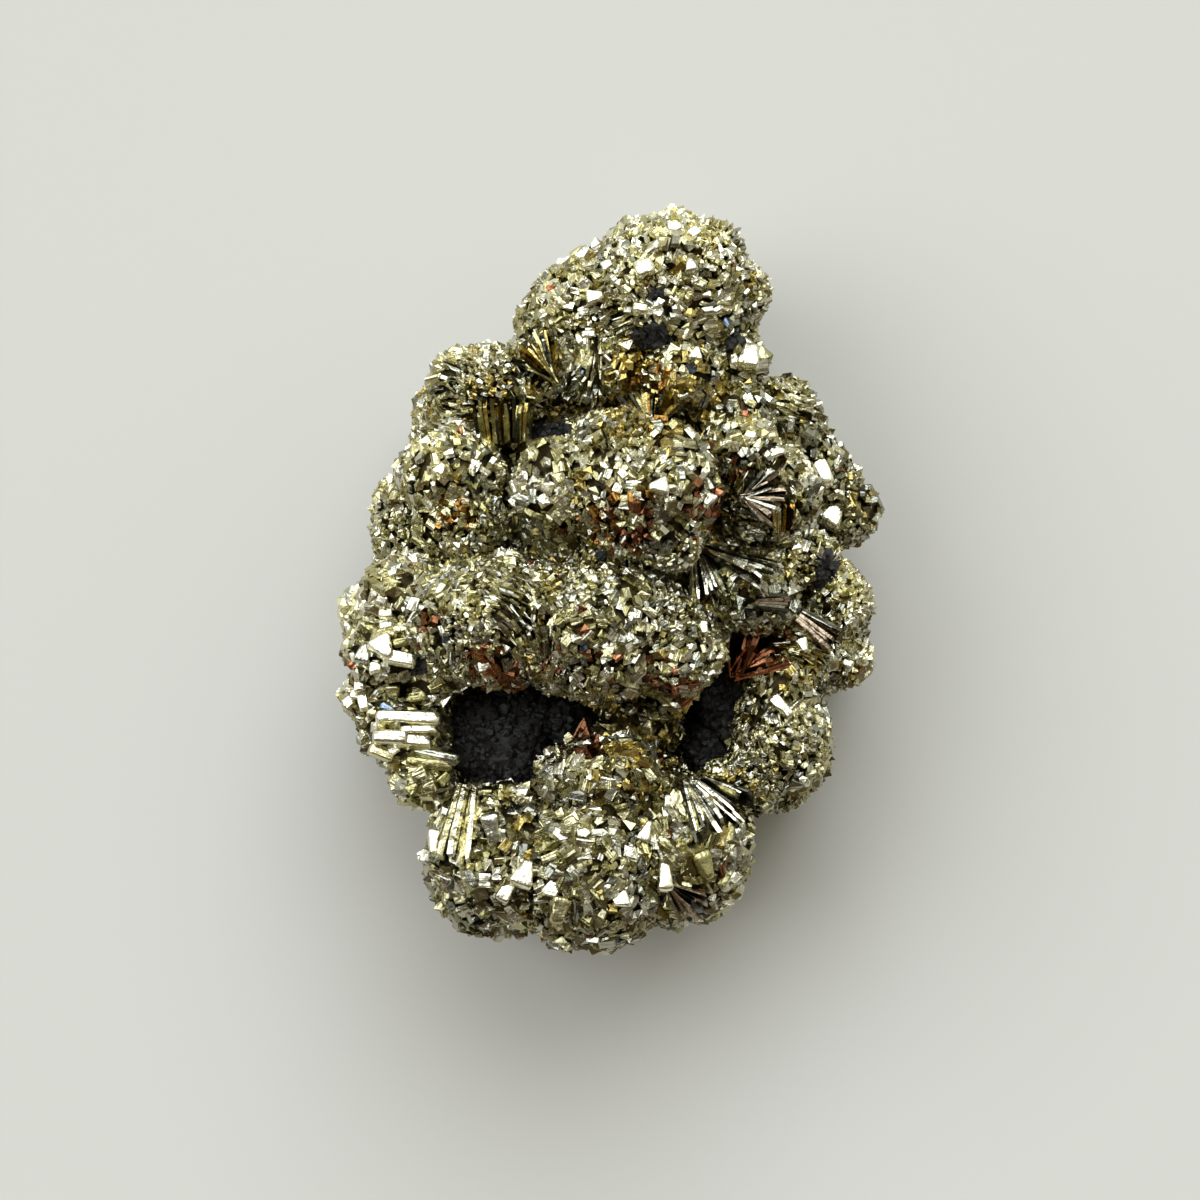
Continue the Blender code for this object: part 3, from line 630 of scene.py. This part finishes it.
# The larger crystals: blunt plates and prisms of the same bare metal, with edges that growth left a little
# rounded. The palest lie so that they mirror the window. On the hip they are thick striped bars side by side.
SMOOTH_CRYSTALS = (  # x, y, half the length, width and height in millimetres, heading and metal
    (-20.4, -2.0, 0.55, 0.4, 0.5, 90, "pale"),
    (-18.0, -2.6, 0.6, 0.35, 0.5, 0, "pale"),
    (-18.0, -3.5, 0.55, 0.42, 0.5, 10, "pale"),
    (-16.8, -3.7, 0.7, 0.45, 0.5, 15, "brass"),
    (-15.6, -3.0, 0.6, 0.42, 0.5, 80, "pale"),
    (-16.5, -4.8, 1.05, 0.4, 0.6, 10, "olive"),
    (-18.2, -5.4, 1.05, 0.75, 0.7, -60, "pale"),
    (-16.9, -6.2, 1.4, 0.55, 0.6, -12, "pale"),
    (-19.9, -5.8, 0.85, 0.5, 0.6, 80, "grey"),
    (-20.8, -6.7, 0.45, 0.4, 0.5, 30, "copper"),
    (-21.1, -7.7, 0.95, 0.62, 0.6, 70, "brass"),
    (-18.9, -7.0, 0.52, 0.45, 0.5, 0, "pale"),
    (-20.4, -8.6, 0.45, 0.42, 0.5, 0, "pale"),
    (-20.1, -9.9, 0.7, 0.42, 0.5, 100, "pale"),
    (-16.0, -9.0, 2.0, 1.55, 1.5, 0, "olive"),
    (-17.6, -8.9, 0.7, 0.5, 0.5, 90, "brass"),
    (-18.0, -10.3, 0.7, 0.24, 0.4, -25, "blue"),
    (-16.3, -11.25, 2.75, 0.58, 1.0, -2, "pale"),
    (-15.5, -12.2, 1.65, 0.32, 0.9, 3, "pale"),
    (-17.7, -12.75, 1.5, 0.58, 1.0, -4, "pale"),
    (-16.0, -13.1, 1.6, 0.5, 1.0, -3, "pale"),
    (-14.3, -13.9, 2.5, 0.6, 1.0, -5, "grey"),
    (-14.6, -14.8, 2.0, 0.45, 0.8, -8, "olive"),
    (-18.6, -14.0, 1.1, 0.45, 0.7, -20, "brass"),
    (-15.4, -15.6, 0.7, 0.45, 0.5, 25, "brass"),
    (-15.9, -16.8, 0.6, 0.4, 0.5, 40, "olive"),
    (-14.5, -16.6, 0.6, 0.45, 0.5, 20, "brass"),
    (-13.5, -16.0, 0.62, 0.42, 0.5, 45, "olive"),
    (-12.8, -15.1, 0.6, 0.42, 0.5, 60, "brass"),
    (-12.7, -8.8, 0.45, 0.38, 0.5, 20, "pale"),
    (-11.9, -8.5, 0.55, 0.38, 0.5, 70, "pale"),
    (-11.6, -16.0, 0.9, 0.35, 0.6, 75, "golden"),
    (-14.0, -21.2, 1.15, 0.6, 0.7, 80, "pale"),
    (-9.3, -19.7, 1.3, 0.6, 0.7, 100, "grey"),
    (-6.7, -23.3, 1.15, 0.75, 0.8, 70, "pale"),
    (-8.2, -24.8, 0.85, 0.6, 0.7, 60, "pale"),
    (-5.7, -17.0, 0.8, 0.5, 0.6, -50, "pale"),
    (3.0, -20.0, 0.95, 0.42, 0.6, 70, "pale"),
    (4.5, -23.6, 1.2, 0.55, 0.7, 90, "pale"),
    (1.0, -25.3, 0.7, 0.55, 0.6, 20, "pale"),
    (4.7, -17.7, 0.6, 0.28, 0.5, 85, "pale"),
    (-4.0, -26.0, 1.1, 0.7, 0.8, 75, "brass"),
    (7.6, -22.6, 1.2, 0.6, 0.7, 110, "olive"),
    (18.0, 9.1, 1.2, 0.6, 0.8, 110, "pale"),
    (18.9, 5.6, 1.0, 0.85, 0.9, 60, "pale"),
    (5.4, 28.7, 0.62, 0.5, 0.6, 10, "pale"),
    (7.0, 28.3, 0.5, 0.46, 0.6, 40, "pale"),
    (2.9, 25.2, 0.8, 0.7, 0.6, 20, "pale"),
    (6.6, 25.4, 0.62, 0.42, 0.6, 100, "pale"),
    (-0.1, 25.7, 0.5, 0.42, 0.5, 30, "pale"),
    (-1.1, 23.1, 0.75, 0.5, 0.6, 10, "pale"),
    (2.6, 22.0, 0.65, 0.42, 0.6, -10, "pale"),
    (7.1, 18.4, 0.6, 0.42, 0.6, 80, "pale"),
    (11.5, 18.3, 1.1, 0.8, 0.8, 80, "pale"),
    (-1.6, 20.1, 0.6, 0.33, 0.5, 5, "pale"),
    (-14.9, 11.7, 0.6, 0.4, 0.5, 20, "pale"),
    (-13.5, 9.0, 0.55, 0.4, 0.5, 60, "pale"),
    (3.9, 7.4, 0.8, 0.55, 0.6, 10, "pale"),
    (7.9, 6.4, 0.6, 0.5, 0.6, 70, "pale"),
    (9.8, 4.6, 0.42, 0.38, 0.5, 0, "pale"),
    (15.3, 2.9, 0.5, 0.38, 0.5, 100, "pale"),
    (13.6, 10.4, 0.75, 0.38, 0.5, 10, "pale"),
    (14.7, 11.0, 0.8, 0.28, 0.5, 5, "pale"),
    (10.2, 3.2, 0.65, 0.5, 0.6, 20, "pale"),
    (15.9, -5.2, 0.65, 0.4, 0.5, 110, "pale"),
    (19.8, -6.8, 0.5, 0.36, 0.5, 150, "pale"),
    (14.0, -10.1, 1.2, 0.45, 0.6, 130, "pale"),
    (17.0, -10.3, 0.6, 0.35, 0.5, 100, "pale"),
    (7.5, -8.6, 1.15, 0.42, 0.6, 60, "pale"),
    (7.5, -3.7, 0.58, 0.42, 0.5, 80, "pale"),
)
SMOOTH_STAND = 0.55 * MM  # how far their tops stand over the knobs
MIRROR_LEAN = (0.05, 0.40)  # the slope, in x and y, of a face that shows the window to the viewer
MIRROR_SCATTER = 0.05  # how far such slopes vary
OTHER_SCATTER = 0.25
ROUNDING = 0.35  # 1 is an ellipsoid, and towards 0 it is a box
LAST_LATITUDE = 1.35  # radians, of the first and the last ring
SMOOTH_RINGS = 9
SMOOTH_SIDES = 16
LARGEST_TAPER = 0.6
LONGEST_TAPERED = 1.4  # millimetres: from this half length on they are straight bars


def rounded_crystals(places, longs, ups, halves, tapers, rings, sides):
    """The corners of crystals with rounded edges, in the same form as prisms gives them.

    A ring's corner is the place, plus the half length, width and height times three shares. The height's
    share is the sine of the ring's latitude. The other two are the cosine of the latitude times the cosine
    or the sine of the corner's angle. Each sine and cosine is raised to the power of the rounding and keeps
    its sign. The width also narrows along the length by the taper.
    """
    latitudes = np.linspace(-LAST_LATITUDE, LAST_LATITUDE, rings)
    angles = np.arange(sides) * 2 * np.pi / sides
    size = np.cos(latitudes) ** ROUNDING
    height = np.sign(latitudes) * np.abs(np.sin(latitudes)) ** ROUNDING
    long_share = np.sign(np.cos(angles)) * np.abs(np.cos(angles)) ** ROUNDING
    side_share = np.sign(np.sin(angles)) * np.abs(np.sin(angles)) ** ROUNDING
    across = np.cross(ups, longs)
    along = halves[:, :1, None] * size[:, None] * long_share
    aside = halves[:, 1:2, None] * size[:, None] * side_share * (1 - tapers[:, None, None] * long_share)
    upward = halves[:, 2:, None] * height[:, None] * np.ones(sides)
    return placed(places, (along, longs), (upward, ups), (aside, across))


rng = np.random.default_rng(8)
table = np.array([row[:6] for row in SMOOTH_CRYSTALS])
metals = np.array([row[6] for row in SMOOTH_CRYSTALS])
mirrors = (metals == "pale")[:, None]
leans = rng.normal(size=(len(table), 2)) * np.where(mirrors, MIRROR_SCATTER, OTHER_SCATTER)
leans += mirrors * MIRROR_LEAN
ups = unit(np.column_stack([leans, np.ones(len(table))]))
headings = np.column_stack([heading_of(table[:, 5])[0], np.zeros(len(table))])
longs = unit(headings - (headings * ups).sum(axis=1, keepdims=True) * ups)
halves = table[:, 2:5] * MM
tops = bed_height(table[:, :2] * MM) + SMOOTH_STAND + 0.2 * halves[:, 1]
places = np.column_stack([table[:, :2] * MM, tops - halves[:, 2]])
tapers = rng.uniform(-LARGEST_TAPER, LARGEST_TAPER, len(table)) * (table[:, 2] < LONGEST_TAPERED)
corners, stripes = rounded_crystals(places, longs, ups, halves, tapers, SMOOTH_RINGS, SMOOTH_SIDES)
colours = np.array([linear(METALS[metal]) for metal in metals]) * rng.uniform(0.85, 1.1, (len(table), 1))
add_crystals("smooth_crystals", [(corners, stripes, colours)], crystal_faces, smooth=True)


# The fine crystals that cover the knobs, grown outwards side by side from many small centres until they met.
# Each is a stubby prism, wider towards its flat-faced tip, of bare, pale brassy metal with a high polish.
BUILD_UP = {
    "pale": 0.36, "brass": 0.36, "olive": 0.15, "grey": 0.11, "golden": 0.015, "copper": 0.005, "blue": 0.001
}
SPOTS = (  # x, y and radius in millimetres, the metal, and the share of the crystals there that have it
    (1.0, 5.0, 3.2, "amber", 0.25),
    (2.2, 4.4, 2.2, "rust", 0.4),
    (8.0, 5.6, 2.8, "rust", 0.22),
    (8.6, 3.6, 2.4, "amber", 0.22),
    (-12.6, 5.8, 1.8, "amber", 0.35),
    (3.8, 15.4, 5.0, "golden", 0.5),
    (4.0, 14.6, 3.0, "amber", 0.12),
    (-9.0, 14.2, 2.6, "golden", 0.6),
    (-14.2, -4.2, 1.6, "rust", 0.35),
    (1.6, -13.2, 5.5, "golden", 0.3),
    (-2.0, -12.4, 2.2, "rust", 0.3),
    (-9.8, -6.2, 1.7, "copper", 0.5),
    (-8.6, -8.2, 2.8, "rust", 0.3),
    (-2.6, -5.0, 3.4, "rust", 0.12),
    (3.4, -8.0, 2.6, "rust", 0.18),
    (6.0, -8.6, 1.7, "copper", 0.4),
    (7.4, 6.2, 1.6, "copper", 0.4),
    (10.2, 8.4, 1.5, "copper", 0.4),
    (11.6, -5.6, 2.2, "copper", 0.25),
    (-12.9, -4.5, 0.5, "blue", 0.7),
    (15.6, -7.4, 2.0, "golden", 0.35),
    (9.6, -17.6, 3.0, "golden", 0.3),
)
ROCK_PATCHES = (  # x, y in millimetres and the half sizes of bare rock that shows among the crystals
    (3.6, 20.3, 1.5, 0.9),
    (3.9, 23.4, 0.7, 0.5),
    (-4.5, 12.2, 1.9, 0.8),
    (17.6, 1.0, 0.8, 1.4),
    (-15.1, -6.8, 0.9, 0.6),
    (10.4, 19.9, 0.5, 0.9),
)
ROCK_PITCH = 0.35 * MM
ROCK_LIFT = 0.3 * MM  # how high the rock's grains lie over the cores
HABITS = {  # pitch in millimetres, width and height in pitches, thickness in widths, and tilt
    "druse": (0.37, (1.4, 2.2), (0.8, 1.5), (0.6, 1.0), 0.3),
    "grains": (0.56, (1.4, 2.2), (0.6, 1.1), (0.55, 1.0), 0.25),
    "blades": (0.46, (2.2, 3.4), (1.0, 2.0), (0.22, 0.4), 0.12),
    "blocks": (0.78, (1.4, 2.1), (0.5, 0.9), (0.55, 1.0), 0.2),
    "shields": (0.92, (1.3, 2.0), (0.7, 1.1), (0.45, 0.9), 0.16),
    "filler": (0.56, (1.4, 2.2), (0.6, 1.0), (0.55, 1.0), 0.25),
    "large": (1.8, (0.4, 0.78), (0.4, 0.6), (0.5, 1.0), 0.22),
}
FAR_FLANK = ("body_crown", "body_neck", "body_shoulder", "body_left", "body_right", "body_middle")
NEAR_FLANK = ("body_hip", "body_ear", "body_corner", "body_foot")
# The last number is painted light and shade: it brightens the crystals' colours on knobs that the lamps light
# and darkens them on knobs in shade, as on the foot.
KNOB_GROUPS = {  # the start of the knobs' names, the habits' shares among their clusters, and painted light and shade
    "crown": (("crown",), {"grains": 0.4, "druse": 0.2, "blades": 0.15, "blocks": 0.25}, 1.12),
    "neck": (("neck",), {"blades": 0.35, "grains": 0.4, "blocks": 0.1, "druse": 0.15}, 1.0),
    "shoulder": (("shoulder",), {"grains": 0.5, "blades": 0.25, "druse": 0.25}, 1.08),
    "left": (("left",), {"grains": 0.5, "blades": 0.25, "druse": 0.25}, 1.12),
    "centre": (("centre",), {"druse": 0.4, "grains": 0.35, "blocks": 0.25}, 1.0),
    "right": (("right", "back"), {"blades": 0.35, "grains": 0.4, "druse": 0.25}, 1.0),
    "ear": (("ear",), {"grains": 0.45, "blades": 0.25, "druse": 0.3}, 1.1),
    "band": (("band",), {"druse": 0.35, "grains": 0.4, "blocks": 0.15, "blades": 0.1}, 0.94),
    "hip": (("hip", "prisms"), {"shields": 0.4, "blocks": 0.4, "grains": 0.2}, 1.12),
    "corner": (("corner",), {"grains": 0.5, "druse": 0.3, "blades": 0.2}, 0.92),
    "foot": (("foot", "crease"), {"shields": 0.55, "blocks": 0.25, "grains": 0.2}, 0.82),
    "far_flank": (FAR_FLANK, {"shields": 0.2, "blocks": 0.4, "grains": 0.4}, 0.95),
    "near_flank": (NEAR_FLANK, {"shields": 0.2, "blocks": 0.4, "grains": 0.4}, 0.95),
}
CLUSTER_DOME = 0.2 * MM  # how far the middle of a lobe's crystals stands over their rim
DOME_LEVEL = 0.6  # the share of the dome that lies in the crystals' bed
RIM_SIZE = 0.8  # the size of the crystals at a lobe's rim
MIDDLE_GAIN = 0.3  # how much larger they are in the middle
CLUSTER_SPREAD = 0.4  # how far the crystals of a lobe lean apart
CLUSTER_LEAN = 0.2  # how far they lean together, so that they mirror the light together
CREASE_WIDTH = 0.22  # in knob radii
CREASE_DEPTH = 0.05 * MM
CREASE_SHADE = 0.3  # painted shade: how much darker the crystals are in a crease between knobs
RIM_SHADE = 0.62  # painted shade: how bright the crystals are at a lobe's rim, down between the lobes
NEAR_SIDE_SHADE = 0.22  # painted shade: how much darker the crystals are on the near side of the knobs, away from the window, and lighter on the far side
SUNK = 0.4 * MM  # how deep their roots lie under the cores' surface
COVERED_DROP = 0.5 * MM  # how much lower they are under a fan
TRIES = 8  # points tried for each square of the pitch
KNOB_PULL, FACE_PULL = 0.7, 0.5  # how far they grow out of their knob, and out of the surface there
ROOT_CLEARANCE = 0.8  # roots keep this many pitches above the floor
MOST_CLEARANCE = 0.96 * MM  # but not more than this
STEEPEST_UNDERSIDE = -0.7  # no crystals grow on what faces down more than this
FILLER_LIFT = 0.45  # how high the filler stands between the others, in crystal beds
LEAST_LIFT = -0.2 * MM
FLOOR_GAP = 0.05 * MM  # the lowest that a corner may be
COMB_SCATTER, OTHER_SCATTERS = 0.12, 0.5  # how far blades, and the other habits, turn from their comb
FIVE_SIDED = 0.35  # the share of crystals with five sides
ROOT_SCALE = 0.62
SHOULDERS = (0.15, 0.6)  # where a crystal is widest, in its height
TIP_SHIFT = 0.7
TIP_SLANT = 0.28
TIP_KINDS = np.array(  # low and high share of the width and of the thickness that is left at the tip
    [
        ((0.7, 0.98), (0.05, 0.3)),  # chisel
        ((0.55, 0.85), (0.55, 0.85)),  # block
        ((0.05, 0.3), (0.05, 0.3)),  # point
    ]
)
TIP_CHANCES = (0.48, 0.22, 0.30)


def area_of(triangles):
    """The area of all the triangles together: half the length of each cross product."""
    sides = triangles[:, 1:] - triangles[:, :1]
    return np.linalg.norm(np.cross(sides[:, 0], sides[:, 1]), axis=1).sum() / 2


def reach_of(points):
    """How far out of each knob's core each point lies, where 1 is on it: an array of point and knob."""
    return np.linalg.norm((points[:, None] - knob_middles) / core_radii, axis=2)


def nearest_two(points, centres):
    """For each point the nearest centre, and the distances to it and to the next one."""
    far = np.linalg.norm(points[:, None] - centres, axis=2)
    order = np.argsort(far, axis=1)[:, :2]
    both = np.take_along_axis(far, order, axis=1)
    return order[:, 0], both[:, 0], both[:, 1]


def seen_from(points, x, y, heading):
    """How far each point lies ahead and to the left of a place in millimetres, along a heading."""
    along, sideways = heading_of(heading)
    places = points[:, :2] / MM - (x, y)
    return places @ along, places @ sideways


def under_a_fan(points):
    """Whether each point lies in a fan's sector, seen from above."""
    within = np.zeros(len(points), bool)
    for x, y, heading, opening, base, reach, *_ in FANS.values():
        forward, aside = seen_from(points, x, y, heading)
        half = base / 2 + forward * np.tan(np.radians(min(opening, 150) / 2))
        within |= (forward > 0) & (np.hypot(forward, aside) < reach) & (np.abs(aside) < half)
    return within & (points[:, 2] > FACE_HEIGHT)


def in_a_smooth_crystal(points):
    """Whether each point lies well inside the outline of a smooth crystal, seen from above."""
    within = np.zeros(len(points), bool)
    for x, y, half_length, half_width, _, heading, _ in SMOOTH_CRYSTALS:
        forward, aside = seen_from(points, x, y, heading)
        within |= (np.abs(forward) < half_length * 0.9) & (np.abs(aside) < half_width * 0.9)
    return within & (points[:, 2] > FACE_HEIGHT)


def in_a_rock_patch(points):
    """Whether each point lies in one of the ellipses of bare rock, seen from above."""
    within = np.zeros(len(points), bool)
    for x, y, half_x, half_y in ROCK_PATCHES:
        within |= np.hypot((points[:, 0] / MM - x) / half_x, (points[:, 1] / MM - y) / half_y) < 1
    return within & (points[:, 2] > FACE_HEIGHT)


def crease_shade_and_tarnish(points, colours, crease, rng):
    """Turns some crystals a darkened gold in the creases between knobs, golden tarnish with painted crease
    shade, and others as the spots say.
    """
    chance = rng.random(len(points))
    shaded_crease = chance < 0.25 * crease
    # Golden tarnish in the creases, darkened by painted shade.
    colours[shaded_crease] = linear(METALS["golden"]) * rng.uniform(0.3, 0.8, (shaded_crease.sum(), 1))
    for x, y, radius, metal, share in SPOTS:
        off = np.hypot(points[:, 0] / MM - x, points[:, 1] / MM - y)
        turned = (off < radius * rng.uniform(0.6, 1.15, len(points))) & (chance < share)
        turned &= points[:, 2] > FACE_HEIGHT
        colours[turned] = linear(METALS[metal]) * rng.uniform(0.5, 1.0, (turned.sum(), 1))
    return colours


triangle_knobs = reach_of(core_triangles.mean(axis=1)).argmin(axis=1)
lobe_knobs = reach_of(lobe_middles).argmin(axis=1)
rng = np.random.default_rng(20)
rock_beds = []
for group, (starts, shares, painted_light) in KNOB_GROUPS.items():
    in_group = np.array([name.startswith(starts) for name in KNOBS])
    part = core_triangles[in_group[triangle_knobs]]
    area = area_of(part)
    lobes = in_group[lobe_knobs]
    centres = lobe_middles[lobes]
    habits = rng.choice(list(shares), len(centres), p=list(shares.values()))
    combs = unit(np.cross(lobe_normals[lobes], rng.normal(size=centres.shape)))
    # Random tones times the group's painted light and shade.
    shades = painted_light * rng.uniform(0.85, 1.08, (len(centres), 1))
    leans = rng.normal(size=centres.shape) * CLUSTER_LEAN
    parts = []
    for habit in [*shares, "filler", "large"]:
        pitch, widths, heights, thins, tilt = HABITS[habit]
        pitch *= MM
        points, normals = scatter(part, int(area / pitch**2 * TRIES), rng)
        cluster, near, far = nearest_two(points, centres)
        here = (habits[cluster] == ("shields" if habit == "filler" else habit)) | (habit == "large")
        here &= points[:, 2] > min(pitch * ROOT_CLEARANCE, MOST_CLEARANCE)
        here &= normals[:, 2] > STEEPEST_UNDERSIDE
        here &= ~in_a_rock_patch(points) & ~in_a_smooth_crystal(points)
        if not here.any():
            continue
        kept = np.flatnonzero(here)[spaced(points[here], pitch)]
        points, normals, cluster, near, far = (a[kept] for a in (points, normals, cluster, near, far))
        count = len(points)
        reaches = reach_of(points)
        knobs = reaches.argmin(axis=1)
        nested = np.sort(reaches, axis=1)
        crease = np.clip(1 - (nested[:, 1] - nested[:, 0]) / CREASE_WIDTH, 0, 1)
        inner = 1 - near / far
        growth = unit((points - knob_middles[knobs]) / core_radii[knobs] ** 2)
        out = unit(KNOB_PULL * growth + FACE_PULL * normals)
        fan_out = (points - centres[cluster]) / LOBE_PITCH * CLUSTER_SPREAD
        axes = unit(out + fan_out + leans[cluster] + rng.normal(size=(count, 3)) * tilt)
        size = pitch * (RIM_SIZE + MIDDLE_GAIN * inner)
        width = size * rng.uniform(*widths, count)
        thickness = width * rng.uniform(*thins, count)
        height = size * rng.uniform(*heights, count)
        bed = CRYSTAL_BED * (FILLER_LIFT if habit == "filler" else 1)
        lift = bed - pitch * sum(heights) / 2 + CLUSTER_DOME * (np.sqrt(inner) - DOME_LEVEL)
        lift = np.maximum(lift - CREASE_DEPTH * crease, LEAST_LIFT) - COVERED_DROP * under_a_fan(points)
        points = points + out * lift[:, None]
        comb_scatter = COMB_SCATTER if habit == "blades" else OTHER_SCATTERS
        comb = combs[cluster] + rng.normal(size=(count, 3)) * comb_scatter
        wides = unit(np.cross(axes, comb))
        kind = TIP_KINDS[rng.choice(3, count, p=TIP_CHANCES)]
        tip = kind[:, :, 0] + (kind[:, :, 1] - kind[:, :, 0]) * rng.random((count, 2))
        colours = metal_colours(count, BUILD_UP, rng) * shades[cluster]
        # Painted shade on the crystals' colours: darker at a lobe's rim, in the creases between knobs and on
        # the knobs' near side, and lighter on their far side.
        light = RIM_SHADE + (1 - RIM_SHADE) * np.sqrt(inner)
        light *= (1 - CREASE_SHADE * crease) * (1 + NEAR_SIDE_SHADE * normals[:, 1])
        colours = crease_shade_and_tarnish(points, colours * light[:, None], crease, rng)
        five = rng.random(count) < FIVE_SIDED
        for sides, chosen in ((4, ~five), (5, five)):
            n = chosen.sum()
            corners, stripes = prisms(
                points[chosen], axes[chosen], wides[chosen], width[chosen], thickness[chosen], height[chosen],
                SUNK + np.maximum(lift[chosen], 0), ROOT_SCALE, rng.uniform(*SHOULDERS, n), tip[chosen],
                rng.uniform(-TIP_SHIFT, TIP_SHIFT, (n, 2)), rng.normal(size=(n, 2)) * TIP_SLANT, sides, 0.5,
            )
            corners[..., 2] = np.maximum(corners[..., 2], FLOOR_GAP)
            parts.append((corners, stripes, colours[chosen]))
    add_crystals(f"{group}_crystals", parts, crystal_faces)
    points, normals = scatter(part, int(area / ROCK_PITCH**2), rng)
    bare = in_a_rock_patch(points)
    rock_beds.append((points[bare] + normals[bare] * ROCK_LIFT, normals[bare]))


# The black rock that the crystals grew on: a soft, dull shale that crumbles into angular grains. It is the
# frame's other solid, with grains laid on it and on the bare spots between the crystals. It is matt, with a
# faint gloss on fresh breaks.
SHALE_GRAINS = 6200
GRAIN_WIDTHS = (0.3 * MM, 0.95 * MM)
GRAIN_HEIGHTS = (0.15 * MM, 0.6 * MM)
GRIT_SIZE = 0.5 * MM
GRIT_RELIEF = 0.2 * MM
STEEPEST_GRAINS = -0.2  # none lie on rock that faces down more than this

black_shale = dull_material(
    "black_shale", GRIT_SIZE, {"Detail": 5.0, "Roughness": 0.7}, ((0.4, "#13120f"), (0.75, "#2f2c25")),
    GRIT_RELIEF, 0.8, {"Roughness": 0.5, "Specular IOR Level": 0.4},
)
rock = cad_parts["matrix"]
rock.data.materials.clear()
rock.data.materials.append(black_shale)

rock_points, rock_faces = mesh_arrays(rock.data)
points, normals = scatter(rock_points[rock_faces], SHALE_GRAINS, rng)
seen = normals[:, 2] > STEEPEST_GRAINS
points = np.concatenate([points[seen], *(bed[0] for bed in rock_beds)])
normals = np.concatenate([normals[seen], *(bed[1] for bed in rock_beds)])
count = len(points)
axes = unit(normals + rng.normal(size=(count, 3)) * 0.8)
wides = unit(np.cross(axes, rng.normal(size=(count, 3))))
width = rng.uniform(*GRAIN_WIDTHS, count)
corners, stripes = prisms(
    points, axes, wides, width, width * rng.uniform(0.5, 1.0, count), rng.uniform(*GRAIN_HEIGHTS, count),
    width * 0.5, 0.62, rng.uniform(0.2, 0.7, count), rng.uniform(0.4, 0.9, (count, 2)),
    rng.uniform(-0.5, 0.5, (count, 2)), rng.uniform(-0.4, 0.4, (count, 2)), 5, 0.5,
)
corners[..., 2] = np.maximum(corners[..., 2], FLOOR_GAP)
add_crystals("shale_grains", [(corners, stripes, np.ones((count, 3)))], black_shale)
